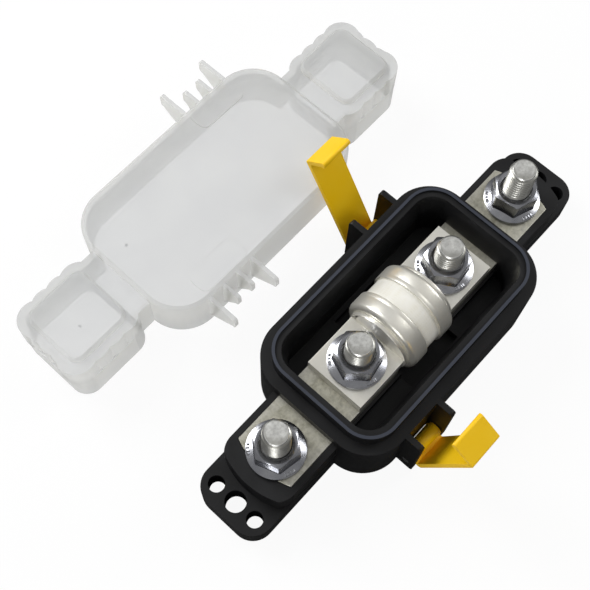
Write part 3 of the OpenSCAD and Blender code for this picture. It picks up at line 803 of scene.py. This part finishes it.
@dataclass
class FlangeNut:
    """A hexagon nut with a broad flange."""

    node: str
    x: float
    base: float
    spin: float
    knurl: Knurl = Knurl.TICKS
    height: float = 9.8
    flats: float = 15.0
    flange: float = 10.4
    bore: float = 5.06
    steps: int = 144

    def rim(self, turn: float) -> float:
        """Radius of the hexagon at an angle."""
        part = (turn - math.radians(self.spin + 30.0) + math.pi / 6) % (math.pi / 3) - math.pi / 6
        return min(self.flats / 2 / math.cos(part), self.flats / math.sqrt(3.0) - 0.14)

    def tick(self, turn: float) -> float:
        """Height of the raised lines on the flange at an angle."""
        if self.knurl is Knurl.PLAIN:
            return 0.0
        degrees = math.degrees(turn) % 120.0
        return 0.16 if degrees < 24.0 and (degrees % 7.5) < 3.2 else 0.0

    def profile(self, turn: float) -> list[tuple[float, float]]:
        """Radius and height pairs up the nut at an angle, from the bore's foot and round."""
        hexagon = self.rim(turn)
        slope = 0.42

        def cone(radius: float) -> float:
            """Height of the flange's cone at a radius."""
            return 1.5 + (self.flange - 0.25 - radius) * slope

        top_radius = self.flats / 2 - 0.45
        shoulder = self.height - (hexagon - top_radius) * 0.5
        lift = self.tick(turn)
        outer, inner = 9.9, max(9.0, hexagon + 0.5)
        made = [(self.bore + 0.5, 0.0), (self.flange - 0.35, 0.0), (self.flange, 0.3), (self.flange, 1.15),
                (self.flange - 0.12, 1.42), (outer, cone(outer)), (outer - 0.1, cone(outer - 0.1) + lift),
                (inner, cone(inner) + lift), (inner - 0.1, cone(inner - 0.1)),
                (hexagon + 0.22, cone(hexagon + 0.22)), (hexagon + 0.05, cone(hexagon) + 0.1),
                (hexagon, cone(hexagon) + 0.35), (hexagon, shoulder - 0.12), (hexagon - 0.08, shoulder),
                (top_radius + 0.12, self.height - 0.06), (top_radius, self.height), (self.bore + 0.75, self.height),
                (self.bore + 0.6, self.height - 0.06), (self.bore, self.height - 0.7), (self.bore, 0.5)]
        return made

    def build(self) -> None:
        """Builds the nut in place of the CAD node."""
        piece = Piece(self.node + "_flanged", ZINC_STEEL)
        turns = [2 * math.pi * i / self.steps for i in range(self.steps)]
        columns = [self.profile(turn) for turn in turns]
        rings = []
        for level in range(len(columns[0])):
            rings.append(piece.ring([(self.x + column[level][0] * math.cos(turn), column[level][0] * math.sin(turn),
                                      self.base + column[level][1]) for turn, column in zip(turns, columns)]))
        for low, high in zip(rings, rings[1:]):
            piece.bridge(low, high)
        piece.bridge(rings[-1], rings[0])
        piece.build((self.node,), sharp=24.0)


@dataclass
class Fuse:
    """The fuse: tube, rolled caps and bolt-on blades."""

    axis: float = 25.3
    tube_radius: float = 14.2
    cap_radius: float = 15.2
    cap_in: float = 3.7
    cap_out: float = 10.9
    foot_radius: float = 12.6
    foot_out: float = 12.5
    roll: float = 2.0

    def along(self, side: int) -> Callable[[float, float, float], Point]:
        """Maker of points on the fuse's axis, seen from one end.

        Args:
            side: 1 for the +X end, -1 for the other.

        Returns:
            A function of angle, radius and distance from the middle.
        """
        def place(turn: float, radius: float, reach: float) -> Point:
            """A point at an angle and a radius round the fuse's axis."""
            return (side * reach, radius * math.cos(turn), self.axis + radius * math.sin(turn))

        return place

    def build(self) -> None:
        """Builds the tube and caps and dresses the rest of the fuse."""
        self.tube()
        for end, side in (("a", -1), ("b", 1)):
            self.cap(end, side)
            dress("fuse_blade_" + end, FUSE_METAL, 0.7, 3)
        dress("fuse_element", ELEMENT_METAL)
        dress("fuse_filler", FILLER_SAND)

    def tube(self) -> None:
        """Builds the tube with a fine joint line next to each cap."""
        r = self.tube_radius
        piece = Piece("fuse_tube_wound", TUBE_RESIN)
        half = 9.7
        profile = [(r - 2.8, -half), (r - 2.8, half), (r, half)]
        profile += [(r, 3.6), (r - 0.12, 3.45), (r, 3.3), (r, -3.3), (r - 0.12, -3.45), (r, -3.6), (r, -half)]
        lathe(piece, profile, self.along(1), 128)
        piece.build(("fuse_tube",))

    def cap(self, end: str, side: int) -> None:
        """Builds one end cap with its rolled edge."""
        outer, inner = self.cap_radius, self.tube_radius + 0.05
        piece = Piece("fuse_cap_%s_rolled" % end, FUSE_METAL)
        profile = [(inner, 9.7), (inner, self.cap_in + 0.1), (inner + 0.2, self.cap_in)]
        profile += arc((outer - 0.3, self.cap_in + 0.3), 0.3, -90, 0, 4)
        profile += [(outer, 5.0), (outer - 0.05, 5.25), (outer - 0.05, 5.6), (outer, 5.85)]
        profile += arc((outer - self.roll, self.cap_out - self.roll), self.roll, 0, 90, 10)
        profile += [(self.foot_radius + 0.2, self.cap_out), (self.foot_radius - 1.0, self.cap_out)]
        profile += [(0.5, self.cap_out), (0.5, 9.7)]
        lathe(piece, profile, self.along(side), 128)
        piece.build(("fuse_cap_" + end,))


@dataclass
class SideLatches:
    """The two yellow latches."""

    edge: float = 0.35

    def build(self) -> None:
        """Dresses both latches."""
        for end in ("a", "b"):
            dress("latch_" + end, YELLOW_PLASTIC, self.edge)


@dataclass
class LooseCover:
    """The translucent cover that lies beside the base."""

    edge: float = 0.4
    centre_x: float = -6.0
    centre_y: float = 82.5
    gate_radius: float = 0.55

    def build(self) -> None:
        """Dresses the cover and adds its moulding gate marks."""
        dress("cover", COVER_PLASTIC, self.edge)
        for name, x, y, z in (("hood", -72.0, -4.0, 25.9), ("body", -40.0, 6.0, 26.5)):
            self.gate_mark(name, self.centre_x + x, self.centre_y + y, z)

    def gate_mark(self, name: str, x: float, y: float, z: float) -> None:
        """A low round nib where a moulding gate was cut off."""
        piece = Piece("cover_gate_" + name, COVER_PLASTIC)

        def place(turn: float, radius: float, height: float) -> Point:
            """A point round the nib's axis."""
            return (x + radius * math.cos(turn), y + radius * math.sin(turn), z + height)

        lathe(piece, [(self.gate_radius, -0.05), (self.gate_radius, 0.0), (0.3, 0.0), (0.25, -0.04)], place, 20, False)
        piece.build()


@dataclass
class Studio:
    """Floor, light and the camera."""

    lens: float = 63.96
    azimuth: float = -50.59
    elevation: float = 68.25
    roll: float = 3.17
    distance: float = 394.2
    target: Point = (-11.26, 38.61, 0.0)

    def build(self) -> None:
        """Sets up the floor, the world, the lamps and the camera."""
        self.floor()
        self.world()
        self.lamp("key", (-0.1, 0.7, 0.62), 0.45, 6.5)
        self.lamp("fill", (0.7, -0.3, 0.55), 0.4, 3.0)
        self.lamp("side", (-0.75, -0.35, 0.4), 0.3, 2.0)
        self.camera()
        bpy.context.scene.view_settings.view_transform = "Standard"

    def floor(self) -> None:
        """A plain pale floor that shows white and keeps a soft shadow."""
        mesh = bpy.data.meshes.new("floor")
        reach = 3.0
        mesh.from_pydata([(-reach, -reach, -0.0003), (reach, -reach, -0.0003), (reach, reach, -0.0003),
                          (-reach, reach, -0.0003)], [], [(0, 1, 2, 3)])
        made = bpy.data.objects.new("floor", mesh)
        bpy.context.scene.collection.objects.link(made)
        material = bpy.data.materials.new("floor_white")
        material.use_nodes = True
        graph = Graph(material.node_tree)
        path = graph.node("LightPath")
        paper = graph.node("BsdfDiffuse")
        graph.feed(paper.inputs["Color"], graph.blend(path.outputs["Is Glossy Ray"], (0.88, 0.88, 0.88, 1.0),
                                                      (0.12, 0.12, 0.12, 1.0)))
        glow = graph.node("Emission")
        glow.inputs["Strength"].default_value = 1.0
        seen = graph.sums("MAXIMUM", path.outputs["Is Camera Ray"], path.outputs["Is Transmission Ray"])
        mixed = graph.node("MixShader")
        graph.feed(mixed.inputs[0], graph.sums("MULTIPLY", seen, 0.93))
        graph.feed(mixed.inputs[1], paper.outputs[0])
        graph.feed(mixed.inputs[2], glow.outputs[0])
        end = graph.node("OutputMaterial")
        graph.feed(end.inputs["Surface"], mixed.outputs[0])
        mesh.materials.append(material)

    def world(self) -> None:
        """White to the camera, and a soft sky that is darker low down for the light."""
        world = bpy.data.worlds.new("studio")
        bpy.context.scene.world = world
        world.use_nodes = True
        graph = Graph(world.node_tree)
        place = graph.node("TexCoord").outputs["Generated"]
        split = graph.node("SeparateXYZ")
        graph.feed(split.inputs[0], place)
        level = graph.spread(split.outputs["Z"], 0.1, 0.9, 0.05, 0.5)
        sky = graph.node("Background")
        graph.feed(sky.inputs["Strength"], level)
        white = graph.node("Background")
        white.inputs["Color"].default_value = (1.0, 1.0, 1.0, 1.0)
        white.inputs["Strength"].default_value = 1.0
        path = graph.node("LightPath")
        mixed = graph.node("MixShader")
        graph.feed(mixed.inputs[0], path.outputs["Is Camera Ray"])
        graph.feed(mixed.inputs[1], sky.outputs[0])
        graph.feed(mixed.inputs[2], white.outputs[0])
        end = graph.node("OutputWorld")
        graph.feed(end.inputs["Surface"], mixed.outputs[0])

    def lamp(self, name: str, place: Point, size: float, watts: float) -> None:
        """A square soft lamp that faces the object.

        Args:
            name: Name of the lamp.
            place: Its place, in metres.
            size: Side of the square, in metres.
            watts: Its power.
        """
        data = bpy.data.lights.new(name, "AREA")
        data.size = size
        data.energy = watts
        made = bpy.data.objects.new(name, data)
        made.location = place
        aim = Vector((0.0, 0.03, 0.02)) - Vector(place)
        made.rotation_euler = aim.to_track_quat("-Z", "Y").to_euler()
        bpy.context.scene.collection.objects.link(made)

    def camera(self) -> None:
        """The camera at the photograph's viewing angle."""
        data = bpy.data.cameras.new("camera")
        data.lens = self.lens
        data.sensor_width = 36.0
        data.clip_start = 0.01
        made = bpy.data.objects.new("camera", data)
        turn, lift = math.radians(self.azimuth), math.radians(self.elevation)
        back = Vector((math.sin(turn) * math.cos(lift), -math.cos(turn) * math.cos(lift), math.sin(lift)))
        made.location = (Vector(self.target) + back * self.distance) * MM
        aim = (-back).to_track_quat("-Z", "Y")
        made.rotation_mode = "QUATERNION"
        made.rotation_quaternion = aim @ Quaternion((0.0, 0.0, 1.0), math.radians(self.roll))
        bpy.context.scene.collection.objects.link(made)
        bpy.context.scene.camera = made


def main() -> None:
    """Builds every sub-assembly, then the studio."""
    logging.basicConfig(level=logging.INFO, format="%(name)s: %(message)s")
    BaseTub().build()
    for end, side in (("a", -1), ("b", 1)):
        Stud("terminal_stud_" + end, side * 63.6).build()
        Stud("fuse_stud_" + end, side * 23.4).build()
    FlangeNut("terminal_nut_a", -63.6, 22.9, 50.0).build()
    FlangeNut("terminal_nut_b", 63.6, 22.9, 40.0).build()
    FlangeNut("fuse_nut_a", -23.4, 27.7, 10.0).build()
    FlangeNut("fuse_nut_b", 23.4, 27.7, 5.0).build()
    Fuse().build()
    SideLatches().build()
    LooseCover().build()
    Studio().build()


if __name__ == "__main__":
    main()
